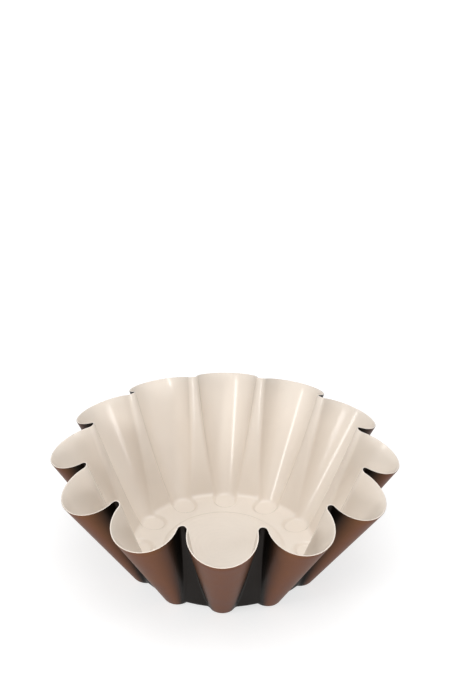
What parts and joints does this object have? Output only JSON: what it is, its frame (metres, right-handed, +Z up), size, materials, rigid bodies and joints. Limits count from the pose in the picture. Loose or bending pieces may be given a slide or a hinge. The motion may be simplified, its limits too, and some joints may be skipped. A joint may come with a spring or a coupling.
{
  "type": "brioche mould",
  "caption": "Deep fluted round baking mould with a leaning scalloped wall, a wavy rim, a raised floor panel and small dished feet, for brioche and other moulded cakes.",
  "frame": {"origin": "on the mould's axis, in the plane that the feet stand on", "axes": "+Z up along the mould's axis, with one flute pointing to -Y"},
  "size_m": [0.22, 0.22, 0.0822],
  "materials": {
    "bronze_lacquer": "semi-gloss metallic lacquer",
    "sheet_steel": "bare rolled sheet",
    "ivory_coating": "semi-gloss non-stick coating"
  },
  "bodies": {
    "root": {"outer_lacquer": "bronze_lacquer", "steel_shell": "sheet_steel", "inner_coating": "ivory_coating"}
  },
  "joints": []
}
